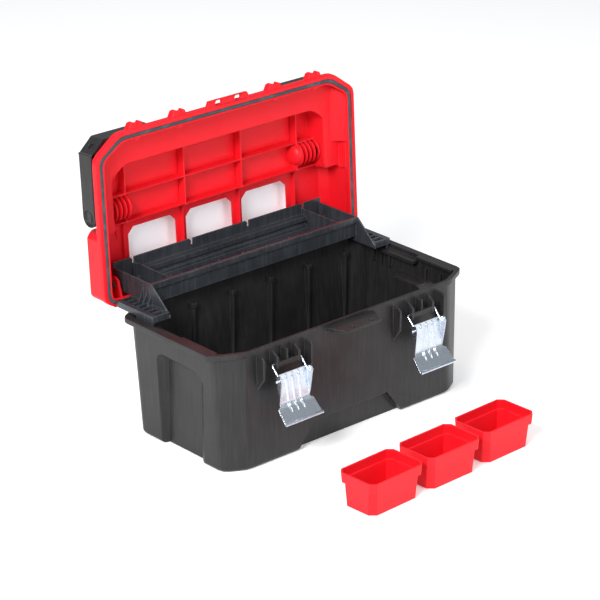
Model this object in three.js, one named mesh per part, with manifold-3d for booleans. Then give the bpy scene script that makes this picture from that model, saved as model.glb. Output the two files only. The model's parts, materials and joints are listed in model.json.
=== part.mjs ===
// Toolbox with a hinged lid, a tray that travels with the lid, draw latches and loose bins.
// Millimetres: X along the box, -Y to the front, +Z up. The origin lies under the middle of the body,
// on the plane that it stands on. The lid stands open, and every part of it is drawn closed,
// in the lid's own frame, whose origin is on the hinge axis.
import * as THREE from "three";
import { mergeVertices } from "three/addons/utils/BufferGeometryUtils.js";
import Module from "manifold-3d";

const wasm = await Module();
wasm.setup();

// ---- driving dimensions ----
const WALL = 3.2;
const GAP = 0.3;
const RIM_Z = 187.5; // top of the body's rim
const HINGE = { y: 130, z: 181.5, radius: 5.5, bore: 2.8, pin: 2.4 };
const OPEN_ANGLE = THREE.MathUtils.degToRad(93.3);
const SIDES = { left: -1, right: 1 };

// Plan outlines are rectangles with cut corners: half length, front, back, and the corner cut in X and Y.
const FOOT = { half: 239, front: -126, back: 100, cut: [33, 20] };
const WALL_TOP = { half: 246, front: -121, back: 113, cut: [42, 22] };
const FLANGE = { half: 255, front: -121, back: 120, cut: [43, 22], height: 8.5 };
const END_RECESS = { depth: 19, top: 150 };
const FRONT_RECESS = { depth: 12, top: 40 };
const HINGE_X = 160; // middle of each hinge
const KNUCKLE = { body: 12, lid: 20, pitch: 17 };

const RIM = RIM_Z - HINGE.z + GAP; // the lid's rim plane above the hinge axis
const SKIRT = { half: 257, front: -270, back: -4, cut: [44, 32], backCut: [20, 12], top: RIM + 26 };
const LID_FLANGE = { height: 10, reach: 12 }; // how deep the lid's rim is, and how far it stands out
const PAN = { half: 215, front: -216, back: -4, cut: [27, 20], top: RIM + 64 };
const REAR = { half: 246, front: -114, back: -4, cut: [8, 8], top: PAN.top };
// Insets from the skirt: the rim band and the gasket's edges, and how far each lies in from the hinge side.
const BAND = { inset: 15.5, back: 11.5, height: 8 };
const GASKET = { outer: 7.5, inner: 12.5, height: 2.6, nearer: 4 };
const WINDOW = { width: 93, pitch: 113, near: -30, far: -96, corner: 10 };
const LID_RIB_X = [-172, -57, 57, 172];
const BUMP_X = [-177, -95, 95, 177];
const LOCK_HOLE = { x: 19, y: -144, half: 6.5, depth: 3.8, corner: 2.2 };
const HOOK = { near: 19, far: 23, low: 153 };

const HANDLE = { inner: 217, outer: 245, pivotY: -137, low: RIM + 27, high: RIM + 57 };
// The grip's front edge, out at its ends and in at its middle, and where it steps between them.
const GRIP = { front: -257, middle: -248, step: [112, 124], back: -233 };
const HANDLE_Z = (HANDLE.low + HANDLE.high) / 2;
const HANDLE_PIN = { radius: 7, cap: 11.5, capDepth: 5 };

const TRAY = { half: 209.5, front: 86, back: 178, floor: 198, rim: 230, backRim: 238, wall: 2.5 };
const TRAY_PIVOT = { y: 164, z: 209, radius: 3 };
const DIVIDER_X = 170;
const WING = { reach: 240, front: 45, back: 132, low: 189, high: 199, runnerBack: 85 };

const COVER = { half: 177, front: -110, back: -18, height: 17.5 };
const COVER_AXIS = { y: -13, z: PAN.top + 5.5, bore: 2.2, pin: 1.8 };
const COVER_HINGE_X = 140;
const COVER_LATCH_X = 88;

const LATCH_X = 136;
const BAIL = { y: -132, z: 158.5, footY: -150, footZ: 140, wire: 1.6, reach: 28, footReach: 27.2, end: 34 };
const LEVER = { plate: 2, flange: 31 };

const BIN = { length: 108, width: 72, height: 53, band: 16, wall: 2 };
const BINS = [
  { name: "bin_left", x: -124, y: -322, turn: 2.5 },
  { name: "bin_middle", x: -4, y: -317, turn: 1.5 },
  { name: "bin_right", x: 116, y: -310, turn: 2 },
];

// ---- finishes ----
const finish = (color, roughness, metalness = 0) => new THREE.MeshStandardMaterial({ color, roughness, metalness });
const BLACK = finish(0x2b2c2e, 0.55);
const TRAY_BLACK = finish(0x303337, 0.45);
const RED = finish(0xe5202c, 0.42);
const RUBBER = finish(0x3c5257, 0.7);
const ZINC = finish(0xd4dade, 0.28, 1);
const STEEL = finish(0x8d9094, 0.35, 1);
const CLEAR = finish(0xd2d5d8, 0.3);

// ---- solids ----
function solid(geometry) {
  const bare = geometry.clone();
  bare.deleteAttribute("normal");
  bare.deleteAttribute("uv");
  const merged = mergeVertices(bare, 1e-4);
  const triVerts = new Uint32Array(merged.index.array);
  const vertProperties = merged.attributes.position.array;
  return new wasm.Manifold(new wasm.Mesh({ numProp: 3, vertProperties, triVerts }));
}

function meshOf(name, body, material) {
  const made = body.getMesh();
  const geometry = new THREE.BufferGeometry();
  geometry.setAttribute("position", new THREE.BufferAttribute(made.vertProperties, 3));
  geometry.setIndex(new THREE.BufferAttribute(made.triVerts, 1));
  geometry.computeVertexNormals();
  const mesh = new THREE.Mesh(geometry, material);
  mesh.name = name;
  return mesh;
}

const join = (...bodies) => bodies.reduce((all, body) => all.add(body));
const cut = (body, ...tools) => tools.reduce((all, tool) => all.subtract(tool), body);

// Swaps (u, v, w) so that w runs along the named axis: x takes (y, z), y takes (z, x), z takes (x, y).
const TURNS = {
  x: new THREE.Matrix4().set(0, 0, 1, 0, 1, 0, 0, 0, 0, 1, 0, 0, 0, 0, 0, 1),
  y: new THREE.Matrix4().set(0, 1, 0, 0, 0, 0, 1, 0, 1, 0, 0, 0, 0, 0, 0, 1),
  z: new THREE.Matrix4(),
};

// Straight prism of an outline between two places on an axis.
function prism(axis, points, from, to) {
  const shape = new THREE.Shape(points.map(([u, v]) => new THREE.Vector2(u, v)));
  const geometry = new THREE.ExtrudeGeometry(shape, { depth: to - from, bevelEnabled: false });
  return solid(geometry.translate(0, 0, from).applyMatrix4(TURNS[axis]));
}

// Closed skin through outlines with the same number of points, each [place on the axis, outline].
function loft(axis, layers) {
  const count = layers[0][1].length;
  const places = layers.flatMap(([at, points]) => points.flatMap(([u, v]) => [u, v, at]));
  const faces = [];
  for (let layer = 0; layer + 1 < layers.length; layer++) {
    for (let i = 0; i < count; i++) {
      const a = layer * count + i;
      const b = layer * count + ((i + 1) % count);
      faces.push(a, b, b + count, a, b + count, a + count);
    }
  }
  const lid = (points) => THREE.ShapeUtils.triangulateShape(points.map(([u, v]) => new THREE.Vector2(u, v)), []);
  const last = (layers.length - 1) * count;
  for (const [a, b, c] of lid(layers[0][1])) faces.push(a, c, b);
  for (const [a, b, c] of lid(layers.at(-1)[1])) faces.push(last + a, last + b, last + c);
  const geometry = new THREE.BufferGeometry();
  geometry.setAttribute("position", new THREE.Float32BufferAttribute(places, 3));
  geometry.setIndex(faces);
  return solid(geometry.applyMatrix4(TURNS[axis]));
}

function box(x0, x1, y0, y1, z0, z1) {
  const geometry = new THREE.BoxGeometry(x1 - x0, y1 - y0, z1 - z0);
  return solid(geometry.translate((x0 + x1) / 2, (y0 + y1) / 2, (z0 + z1) / 2));
}

// The same box on the left or right, its X measured outwards from the middle.
function sideBox(side, near, far, y0, y1, z0, z1) {
  return box(Math.min(side * near, side * far), Math.max(side * near, side * far), y0, y1, z0, z1);
}

// Round rod along an axis through (u, v), in the order that TURNS gives.
function rod(axis, u, v, from, to, radius, sides = 14) {
  const geometry = new THREE.CylinderGeometry(radius, radius, Math.abs(to - from), sides);
  geometry.rotateX(Math.PI / 2).translate(u, v, (from + to) / 2);
  return solid(geometry.applyMatrix4(TURNS[axis]));
}

// Round rod between two points.
function bar(start, end, radius, sides = 8) {
  const from = new THREE.Vector3(...start);
  const along = new THREE.Vector3(...end).sub(from);
  const geometry = new THREE.CylinderGeometry(radius, radius, along.length(), sides);
  const turn = new THREE.Quaternion().setFromUnitVectors(new THREE.Vector3(0, 1, 0), along.clone().normalize());
  geometry.applyQuaternion(turn).translate(...from.addScaledVector(along, 0.5).toArray());
  return solid(geometry);
}

// Corners of an outline turned into short curves.
function rounded(points, reach, steps) {
  return points.flatMap((corner, i) => {
    const before = points.at(i - 1);
    const after = points[(i + 1) % points.length];
    const near = (other) => {
      const length = Math.hypot(other[0] - corner[0], other[1] - corner[1]);
      const t = Math.min(reach / length, 0.45);
      return new THREE.Vector2(corner[0] + (other[0] - corner[0]) * t, corner[1] + (other[1] - corner[1]) * t);
    };
    const curve = new THREE.QuadraticBezierCurve(near(before), new THREE.Vector2(...corner), near(after));
    return curve.getPoints(steps).map((p) => [p.x, p.y]);
  });
}

// Rectangle with cut corners, pulled in by an inset, which may differ at the back.
function plan({ half, front, back, cut: frontCut, backCut = frontCut }, inset = 0, reach = 9, backInset = inset) {
  const x = half - inset;
  const [f, b] = [front + inset, back - backInset];
  const shrink = ([cx, cy]) => [Math.max(cx - inset * 0.45, 2), Math.max(cy - inset * 0.55, 2)];
  const [[fx, fy], [bx, by]] = [shrink(frontCut), shrink(backCut)];
  const corners = [
    [-x + fx, f], [x - fx, f], [x, f + fy], [x, b - by],
    [x - bx, b], [-x + bx, b], [-x, b - by], [-x, f + fy],
  ];
  return rounded(corners, reach, 2);
}

function block(x0, x1, y0, y1, corner) {
  return [
    [x0 + corner, y0], [x1 - corner, y0], [x1, y0 + corner], [x1, y1 - corner],
    [x1 - corner, y1], [x0 + corner, y1], [x0, y1 - corner], [x0, y0 + corner],
  ];
}

// ---- body ----
// A cut that runs in from the end wall: a tall panel, open below, with its front side sloped.
function endRecess(side, grow) {
  const { depth, top } = END_RECESS;
  const outline = (front, back, high) => rounded(
    [[front, -5], [back, -5], [back, high - 8], [back - 8, high], [front + 20, high], [front, high - 14]], 4, 1);
  const inner = outline(-50 - grow, 26 + grow, top - 8 + grow);
  const outer = outline(-78 - grow, 35 + grow, top + grow);
  const wall = WALL_TOP.half + 1;
  const layers = [[wall - depth - grow, inner], [wall, outer], [wall + 20, outer]];
  return side > 0 ? loft("x", layers) : loft("x", layers.map(([at, points]) => [-at, points]).reverse());
}

function frontRecess(grow) {
  const { depth, top } = FRONT_RECESS;
  const outline = [[-5, 110 + grow], [-5, -110 - grow], [top + grow, -75 - grow], [top + grow, 75 + grow]];
  return prism("y", outline, FOOT.front - 20, FOOT.front + depth + grow);
}

function bodyInside() {
  const hollow = loft("z", [[WALL, plan(FOOT, WALL)], [RIM_Z + 1, plan(WALL_TOP, WALL)]]);
  return cut(hollow, endRecess(-1, WALL), endRecess(1, WALL), frontRecess(WALL));
}

function bodyRibs() {
  const back = [-195, -117, -39, 39, 117, 195].map((x) => box(x - 2, x + 2, 98, 112, 2, 168));
  const ends = [-1, 1].flatMap((side) =>
    [-70, -38, 44, 62, 80].map((y) => sideBox(side, 237, 244, y - 1.5, y + 1.5, 150, 172)));
  return [...back, ...ends];
}

function trayLedges() {
  return [-1, 1].flatMap((side) => [
    sideBox(side, 229, 245, -18, 100, 175, 180.5),
    sideBox(side, 235, 246, -96, -18, 182, RIM_Z),
  ]);
}

// Three knuckles a hinge on the body, with the lid's two between them.
function bodyKnuckles() {
  return [-1, 1].flatMap((side) => [-2, 0, 2].flatMap((place) => {
    const x = side * HINGE_X + place * KNUCKLE.pitch;
    const [x0, x1] = [x - KNUCKLE.body / 2, x + KNUCKLE.body / 2];
    return [rod("x", HINGE.y, HINGE.z, x0, x1, HINGE.radius), box(x0, x1, 116, HINGE.y, 177, 182)];
  }));
}

function hingeBores() {
  return [-1, 1].map((side) => rod("x", HINGE.y, HINGE.z, side * HINGE_X - 50, side * HINGE_X + 50, HINGE.bore));
}

// Hooks that carry the bail, a bar below them, and a guard fin on each side.
function latchBracket(middle) {
  const hook = [[-118, 178], [-127, 178], [-138, 171], [-138, HOOK.low], [-118, HOOK.low]].reverse();
  const fin = [[-118, 176], [-134, 176], [-137, 172], [-137, 142], [-118, 117]].reverse();
  const parts = [];
  for (const side of [-1, 1]) {
    const at = (near, far) => [middle + side * near, middle + side * far].sort((a, b) => a - b);
    parts.push(prism("x", hook, ...at(HOOK.near, HOOK.far)), prism("x", fin, ...at(44.5, 48)));
  }
  parts.push(box(middle - 19.5, middle + 19.5, -137, -133, 155, 162));
  parts.push(box(middle - 1.2, middle + 1.2, -135, -118, 155, 178));
  return join(...parts);
}

function lockHoles(y, low, high) {
  const { x, half, depth, corner } = LOCK_HOLE;
  return [-1, 1].map((side) =>
    prism("z", block(side * x - half, side * x + half, y - depth, y + depth, corner), low, high));
}

function padlockLedge() {
  const outline = [[-50, -118], [-36, -150], [36, -150], [50, -118]];
  return cut(prism("z", outline, 176, 181), ...lockHoles(LOCK_HOLE.y, 170, 190));
}

function bodyShell() {
  const skin = loft("z", [[0, plan(FOOT, 3)], [4, plan(FOOT)], [RIM_Z, plan(WALL_TOP)]]);
  const flange = prism("z", plan(FLANGE), RIM_Z - FLANGE.height, RIM_Z);
  const outside = cut(join(skin, flange), endRecess(-1, 0), endRecess(1, 0), frontRecess(0));
  const lining = join(...bodyRibs(), ...trayLedges()).intersect(outside);
  const brackets = [-LATCH_X, LATCH_X].map(latchBracket);
  const bailBores = [-LATCH_X, LATCH_X].map((x) =>
    rod("x", BAIL.y, BAIL.z, x - BAIL.reach - 3, x + BAIL.reach + 3, BAIL.wire + 0.5, 12));
  const outer = join(outside, ...bodyKnuckles(), ...brackets, padlockLedge());
  const hollow = cut(outer, bodyInside(), ...hingeBores(), ...bailBores);
  return join(hollow, lining);
}

// ---- lid, drawn closed in the frame of its hinge ----
function lidOutside() {
  const rearTop = { ...REAR, half: REAR.half - 10 };
  return join(
    prism("z", plan(SKIRT), RIM, RIM + LID_FLANGE.height),
    loft("z", [[RIM + 1, plan(SKIRT, LID_FLANGE.reach, 9, 0)], [SKIRT.top, plan(SKIRT, LID_FLANGE.reach + 1, 9, 2)]]),
    loft("z", [[RIM + 1, plan(PAN)], [PAN.top - 2, plan(PAN, 2)], [PAN.top, plan(PAN, 4)]]),
    loft("z", [[RIM + 1, plan(REAR, 0, 3)], [PAN.top - 12, plan(REAR, 2, 3)], [PAN.top, plan(rearTop, 4, 3)]]),
  );
}

function lidInside() {
  const rearTop = { ...REAR, half: REAR.half - 10 };
  return join(
    prism("z", plan(SKIRT, BAND.inset, 9, BAND.back), RIM - 1, RIM + BAND.height),
    loft("z", [[RIM + BAND.height - 1, plan(SKIRT, BAND.inset, 9, WALL)],
      [SKIRT.top - WALL, plan(SKIRT, BAND.inset + 1, 9, WALL + 2)]]),
    loft("z", [[RIM + BAND.height - 1, plan(PAN, WALL)], [PAN.top - WALL, plan(PAN, WALL + 3)]]),
    loft("z", [
      [RIM + BAND.height - 1, plan(REAR, WALL, 3)], [PAN.top - 14, plan(REAR, WALL + 2, 3)],
      [PAN.top - WALL, plan(rearTop, WALL + 4, 3)],
    ]),
  );
}

function lidWindows() {
  return [-1, 0, 1].map((place) => {
    const x = place * WINDOW.pitch;
    const outline = block(x - WINDOW.width / 2, x + WINDOW.width / 2, WINDOW.far, WINDOW.near, WINDOW.corner);
    return prism("z", outline, PAN.top - 20, PAN.top + 5);
  });
}

// Ribs under the lid's top. Those across the box step back over the space that the tray swings through.
function lidRibs() {
  const top = PAN.top - 1;
  const [deep, shallow] = [RIM + 45, RIM + 54];
  const across = [[-213, deep], [-112, deep], [-106, shallow], [-6, shallow], [-6, top], [-213, top]];
  const crosswise = LID_RIB_X.map((x) => prism("x", across, x - 1.2, x + 1.2));
  const lengthwise = [box(-210, 210, -158, -155.6, deep, top), box(-210, 210, -113.5, -111, deep, top)];
  return [...crosswise, ...lengthwise];
}

// Curved fins that stiffen the handle's pivot from inside.
function pivotFins(side) {
  const centre = PAN.top - 14;
  const fins = [0, 1, 2, 3, 4].map((i) => {
    const x = side * (173 + 8.6 * i);
    return rod("x", -137, centre, x - 1.2, x + 1.2, 19.5, 20);
  });
  const keep = box(-260, 260, -158, -113, RIM + 20, PAN.top - 1);
  return join(...fins, sideBox(side, 170, 215, -146, -128, PAN.top - 9, PAN.top - 1)).intersect(keep);
}

function trayLug(side) {
  const [y, z] = toLid(TRAY_PIVOT.y, TRAY_PIVOT.z);
  const outline = [
    [-5, z - 19], [-5, z + 19], [y + 2, z + 13], [y - 8, z + 11], [y - 13, z + 3],
    [y - 13, z - 4], [y - 8, z - 11], [y + 2, z - 13],
  ].reverse();
  return prism("x", outline, ...[side * 216, side * 219.5].sort((a, b) => a - b));
}

// Ramp between the rim and the ledge beside the pan, ahead of the space that the tray's wings need.
function endRamp(side) {
  const [low, high] = [RIM + 1, SKIRT.top - 1];
  const outline = [[low, 242.5], [low, 250], [high, 250], [high, 225]].map(([z, x]) => [z, side * x]);
  return prism("y", side > 0 ? outline : outline.reverse(), -252, -152).intersect(lidOutside());
}

// A point beside the open lid, in the frame of the closed one.
function toLid(y, z) {
  const p = new THREE.Vector3(0, y - HINGE.y, z - HINGE.z).applyAxisAngle(new THREE.Vector3(1, 0, 0), OPEN_ANGLE);
  return [p.y, p.z];
}

function frontBump(x) {
  const outline = [[x - 17, -265], [x - 10, -278], [x - 4, -279], [x - 2, -275.5], [x + 6, -275.5],
    [x + 8, -278.5], [x + 11, -277.5], [x + 16, -265]];
  return prism("z", outline.reverse(), RIM + 1.5, RIM + 13);
}

function padlockLip() {
  const outline = [[-44, -266], [-38, -279], [38, -279], [44, -266]];
  return prism("z", outline, RIM, RIM + 6);
}

function lidKnuckles() {
  return [-1, 1].flatMap((side) => [-1, 1].flatMap((place) => {
    const x = side * HINGE_X + place * KNUCKLE.pitch;
    const [x0, x1] = [x - KNUCKLE.lid / 2, x + KNUCKLE.lid / 2];
    return [rod("x", 0, 0, x0, x1, HINGE.radius), box(x0, x1, -8, 3, 0, RIM + 4)];
  }));
}

function coverClevises() {
  const { y, z } = COVER_AXIS;
  return [-1, 1].flatMap((side) => [-8, 8].map((shift) => {
    const x = side * COVER_HINGE_X + shift;
    return join(rod("x", y, z, x - 2, x + 2, 4.2), box(x - 2, x + 2, y - 4, y + 4, PAN.top - 2, z));
  }));
}

function coverBores() {
  return [-1, 1].map((side) => rod("x", COVER_AXIS.y, COVER_AXIS.z,
    side * COVER_HINGE_X - 14, side * COVER_HINGE_X + 14, COVER_AXIS.bore, 12));
}

// Loop between two insets from the skirt's outline, nearer the edge on the hinge side.
function gasketLoop(outer, inner, low, high) {
  const edge = (inset) => plan(SKIRT, inset, 9, inset - GASKET.nearer);
  return cut(prism("z", edge(outer), low, high), prism("z", edge(inner), low - 1, high + 1));
}

function lidShell() {
  const shell = cut(lidOutside(), lidInside(), ...lidWindows());
  const ribs = join(...lidRibs(), pivotFins(-1), pivotFins(1)).intersect(lidOutside());
  const windows = lidWindows();
  const edge = [...BUMP_X.map(frontBump), padlockLip(), ...lidKnuckles(), ...coverClevises()];
  const sides = [-1, 1].flatMap((side) => [trayLug(side), endRamp(side)]);
  const whole = join(shell, cut(ribs, ...windows), ...sides, ...edge);
  const [pivotY, pivotZ] = toLid(TRAY_PIVOT.y, TRAY_PIVOT.z);
  const groove = gasketLoop(GASKET.outer - GAP, GASKET.inner + GAP, RIM - 1, RIM + GASKET.height + GAP);
  const bores = [
    ...lockHoles(LOCK_HOLE.y - HINGE.y, RIM - 5, RIM + 12),
    rod("x", pivotY, pivotZ, -225, 225, TRAY_PIVOT.radius + 0.4, 12),
    rod("x", 0, 0, -210, 210, HINGE.bore),
    rod("x", HANDLE.pivotY, HANDLE_Z, -230, -205, HANDLE_PIN.radius + 0.4),
    rod("x", HANDLE.pivotY, HANDLE_Z, 205, 230, HANDLE_PIN.radius + 0.4),
  ];
  return cut(whole, groove, ...bores, ...coverBores());
}

function gasket() {
  return gasketLoop(GASKET.outer, GASKET.inner, RIM, RIM + GASKET.height);
}

function handle() {
  const { inner, outer, pivotY, low, high } = HANDLE;
  const radius = (high - low) / 2;
  const arms = [-1, 1].map((side) => {
    const [x0, x1] = [side * inner, side * outer].sort((a, b) => a - b);
    const end = rod("x", pivotY, HANDLE_Z, x0, x1, radius, 24);
    return join(end, box(x0, x1, GRIP.front + 20, pivotY, low, high));
  });
  const { front, middle, step: [near, far], back } = GRIP;
  const grip = [[-outer + 24, front], [-far, front], [-near, middle], [near, middle], [far, front],
    [outer - 24, front], [outer, front + 21], [outer, back + 5], [inner, back + 5],
    [inner - 8, back], [-inner + 8, back], [-inner, back + 5], [-outer, back + 5], [-outer, front + 21]];
  const bores = [-1, 1].flatMap((side) => [
    rod("x", pivotY, HANDLE_Z, side * (inner - 5), side * (outer + 5), HANDLE_PIN.radius + 0.5),
    rod("x", pivotY, HANDLE_Z, side * (outer - HANDLE_PIN.capDepth), side * (outer + 5), HANDLE_PIN.cap + 0.5, 20),
  ]);
  const channel = join(
    box(-outer + 24, outer - 24, middle + 4, back - 4, low - 1, high - 3),
    ...[-1, 1].map((side) => sideBox(side, inner + 3, outer - 3, back - 4, pivotY - 18, low - 1, high - 3)),
  );
  return cut(join(...arms, prism("z", grip, low, high)), channel, ...bores, ...[-1, 1].map(cornerSocket));
}

// Square socket in the slanted corner of the handle.
function cornerSocket(side) {
  const geometry = new THREE.BoxGeometry(9, 9, 9).rotateZ(side * THREE.MathUtils.degToRad(40));
  return solid(geometry.translate(side * (HANDLE.outer - 12), GRIP.front + 10.5, HANDLE_Z));
}

// Stub that the handle turns on: its head sits in the arm, its shank in the lid's wall.
function handlePivot(side) {
  const shank = rod("x", HANDLE.pivotY, HANDLE_Z, side * 208, side * (HANDLE.outer - 2), HANDLE_PIN.radius);
  const head = rod("x", HANDLE.pivotY, HANDLE_Z, side * (HANDLE.outer - 4.5), side * (HANDLE.outer - 1),
    HANDLE_PIN.cap, 20);
  return join(shank, head);
}

function organiserCover() {
  const { half, front, back, height } = COVER;
  const [low, high] = [PAN.top + GAP, PAN.top + height];
  const outside = loft("z", [
    [low, block(-half, half, front, back, 8)], [high - 3, block(-half + 1, half - 1, front + 1, back - 1, 8)],
    [high, block(-half + 4, half - 4, front + 4, back - 4, 8)],
  ]);
  const inside = prism("z", block(-half + 3, half - 3, front + 3, back - 3, 6), low - 1, high - 2);
  const tongues = [-1, 1].map((side) => {
    const x = side * COVER_HINGE_X;
    const { y, z } = COVER_AXIS;
    return join(rod("x", y, z, x - 5.5, x + 5.5, 4.2), box(x - 5.5, x + 5.5, back - 1.5, y, z, z + 4));
  });
  const ears = [-1, 1].flatMap((side) => [-14, 14].map((shift) => {
    const x = side * COVER_LATCH_X + shift;
    return box(x - 1.5, x + 1.5, front - 5, front + 2, high - 8, high - 3);
  }));
  const latchBores = [-1, 1].map((side) =>
    rod("x", front - 2.6, high - 5.6, side * COVER_LATCH_X - 20, side * COVER_LATCH_X + 20, 1.5, 10));
  return cut(join(cut(outside, inside), ...tongues, ...ears), ...coverBores(), ...latchBores);
}

// Flap on the cover's front edge, with its own stub axle.
function coverLatch(side) {
  const [y, z] = [COVER.front - 2.6, PAN.top + COVER.height - 5.6];
  const x = side * COVER_LATCH_X;
  const flap = [[y - 1.6, z + 2], [y - 1.6, PAN.top + 1.5], [y + 0.2, PAN.top + 1.5], [y + 1.6, z + 2]];
  return join(prism("x", flap, x - 12, x + 12), rod("x", y, z, x - 15.3, x + 15.3, 1.1, 10));
}

// ---- tray ----
function trayEnd(side) {
  const { half, front, back, floor, rim, wall } = TRAY;
  const [x0, x1] = [side * (half - wall), side * half].sort((a, b) => a - b);
  const plate = prism("x", [[front, rim], [WING.front - 1, WING.low + 4], [WING.front - 1, WING.low],
    [WING.back, WING.low], [WING.back + 1, floor], [back, floor], [back, rim]], x0, x1);
  const slab = sideBox(side, half - 1, WING.reach, WING.front, WING.back, WING.low, WING.high);
  const pockets = Array.from({ length: 7 }, (_, i) => {
    const y = WING.front + 4 + i * 12;
    return sideBox(side, half + 3, WING.reach - 9, y, y + 8, WING.low + 3, WING.high + 1);
  });
  const runner = sideBox(side, WING.reach - 4.5, WING.reach, WING.front + 3, WING.runnerBack, 181.3, WING.low + 1);
  const gussets = Array.from({ length: 3 }, (_, i) => {
    const y = 85 + i * 10;
    const foot = [[WING.high - 1, side * (half + 9)], [WING.high - 1, side * (half - 1)],
      [y * 0.3 + 192, side * (half - 1)]];
    return prism("y", side > 0 ? foot : foot.reverse(), y, y + 1.6);
  });
  return join(plate, cut(slab, ...pockets), runner, ...gussets);
}

function trayTub() {
  const { half, front, back, floor, rim, backRim, wall } = TRAY;
  const tub = join(
    box(-half, half, front + 3, back, floor, rim),
    box(-half, half, front, back, rim - 9, rim),
    box(-half, half, back - wall, back, floor, backRim),
  );
  const end = half - wall;
  const pockets = [
    box(-end, -DIVIDER_X - 1, front + 3 + wall, back - wall, floor + wall, backRim),
    box(DIVIDER_X + 1, end, front + 3 + wall, back - wall, floor + wall, backRim),
    box(-DIVIDER_X + 1, DIVIDER_X - 1, front + 3 + wall, back - wall - 12, floor + wall, backRim),
    box(-DIVIDER_X + 1, DIVIDER_X - 1, front + 10, back - wall, rim - 10, backRim),
  ];
  const notches = LID_RIB_X.map((x) =>
    prism("y", [[backRim + 1, x - 5.5], [backRim - 3.5, x - 1.8], [backRim - 10, x - 1.8], [backRim - 10, x + 1.8],
      [backRim + 1, x + 1.8]].reverse(), back - 10, back + 5));
  const bore = rod("x", TRAY_PIVOT.y, TRAY_PIVOT.z, -half - 10, half + 10, TRAY_PIVOT.radius + 0.4, 12);
  return cut(join(cut(tub, ...pockets), trayEnd(-1), trayEnd(1)), ...notches, bore);
}

// Stub through the lid's lug into the tray's end wall.
function trayPin(side) {
  const [y, z] = toLid(TRAY_PIVOT.y, TRAY_PIVOT.z);
  return join(rod("x", y, z, side * 206, side * 222, TRAY_PIVOT.radius, 12),
    rod("x", y, z, side * 219.9, side * 223, 5.5, 12));
}

// ---- latches ----
function bail(middle) {
  const { y, z, footY, footZ, wire, reach, footReach, end } = BAIL;
  const bead = (point) => solid(new THREE.SphereGeometry(wire, 8, 4).translate(...point));
  const legs = [-1, 1].flatMap((side) => {
    const top = [middle + side * reach, y, z];
    const foot = [middle + side * footReach, footY, footZ];
    const tip = [middle + side * end, footY, footZ];
    return [bar(top, foot, wire), bar(foot, tip, wire), bead(top), bead(foot)];
  });
  return join(bar([middle - reach, y, z], [middle + reach, y, z], wire), ...legs);
}

function lever(middle) {
  const line = [[-140, 146], [-146, 114], [-148.5, 99], [-157, 90], [-170.5, 76]];
  const t = LEVER.plate;
  const profile = [...line, ...line.map(([y, z]) => [y - t, z - t * 0.35]).reverse()].reverse();
  const face = [[147, -31], [99.5, -28.5], [97.5, -34.5], [74, -37], [74, 37], [97.5, 34.5], [99.5, 28.5],
    [147, 31]].map(([z, x]) => [z, middle + x]);
  const plate = prism("x", profile, middle - 40, middle + 40).intersect(prism("y", face, -185, -120));
  const flange = [[-140.5, 146], [-147, 149], [-155, 147], [-156.5, 138], [-155.5, 126], [-150, 101],
    [-148.5, 101], [-146, 114]];
  const sides = [-1, 1].map((side) =>
    prism("x", flange, ...[middle + side * LEVER.flange, middle + side * (LEVER.flange - 1.6)].sort((a, b) => a - b)));
  const roll = rod("x", -171.5, 76.5, middle - 36.5, middle + 36.5, 2.2, 10);
  const bore = rod("x", BAIL.footY, BAIL.footZ, middle - 40, middle + 40, BAIL.wire + 0.5, 12);
  return cut(join(plate, ...sides, roll), bore);
}

// ---- bins ----
function bin() {
  const { length, width, height, band, wall } = BIN;
  const outline = (shrink, corner) =>
    block(-length / 2 + shrink, length / 2 - shrink, -width / 2 + shrink, width / 2 - shrink, corner);
  const outside = join(
    loft("z", [[0, outline(6, 9)], [height - band + 1, outline(3.5, 9)]]),
    loft("z", [[height - band, outline(1, 8)], [height, outline(0, 8)]]),
  );
  const inside = join(
    loft("z", [[wall, outline(6 + wall, 7)], [height - band + 2, outline(3.5 + wall, 7)]]),
    prism("z", outline(1 + wall, 7), height - band + wall, height + 1),
  );
  return cut(outside, inside);
}

// ---- assembly ----
function buildLid() {
  const lid = new THREE.Group();
  lid.position.set(0, HINGE.y, HINGE.z);
  lid.rotation.x = -OPEN_ANGLE;
  lid.add(meshOf("lid_shell", lidShell(), RED));
  lid.add(meshOf("lid_gasket", gasket(), RUBBER));
  lid.add(meshOf("carry_handle", handle(), BLACK));
  lid.add(meshOf("organiser_cover", organiserCover(), CLEAR));
  for (const [name, side] of Object.entries(SIDES)) {
    const coverPin = rod("x", COVER_AXIS.y, COVER_AXIS.z,
      side * COVER_HINGE_X - 10.5, side * COVER_HINGE_X + 10.5, COVER_AXIS.pin, 12);
    lid.add(meshOf("handle_pivot_" + name, handlePivot(side), BLACK));
    lid.add(meshOf("cover_latch_" + name, coverLatch(side), RED));
    lid.add(meshOf("cover_hinge_pin_" + name, coverPin, STEEL));
    lid.add(meshOf("tray_pin_" + name, trayPin(side), BLACK));
  }
  return lid;
}

function buildBody() {
  const group = new THREE.Group();
  group.add(meshOf("body_shell", bodyShell(), BLACK));
  for (const [name, side] of Object.entries(SIDES)) {
    const pin = rod("x", HINGE.y, HINGE.z, side * HINGE_X - 41, side * HINGE_X + 41, HINGE.pin);
    group.add(meshOf("lid_hinge_pin_" + name, pin, STEEL));
    group.add(meshOf("latch_bail_" + name, bail(side * LATCH_X), ZINC));
    group.add(meshOf("latch_lever_" + name, lever(side * LATCH_X), ZINC));
  }
  return group;
}

function buildBins() {
  const group = new THREE.Group();
  for (const { name, x, y, turn } of BINS) {
    const mesh = meshOf(name, bin(), RED);
    mesh.position.set(x, y, 0);
    mesh.rotation.z = THREE.MathUtils.degToRad(turn);
    group.add(mesh);
  }
  return group;
}

const toolbox = new THREE.Group();
toolbox.add(buildBody(), buildLid(), meshOf("tray", trayTub(), TRAY_BLACK), buildBins());

export default toolbox;
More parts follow.
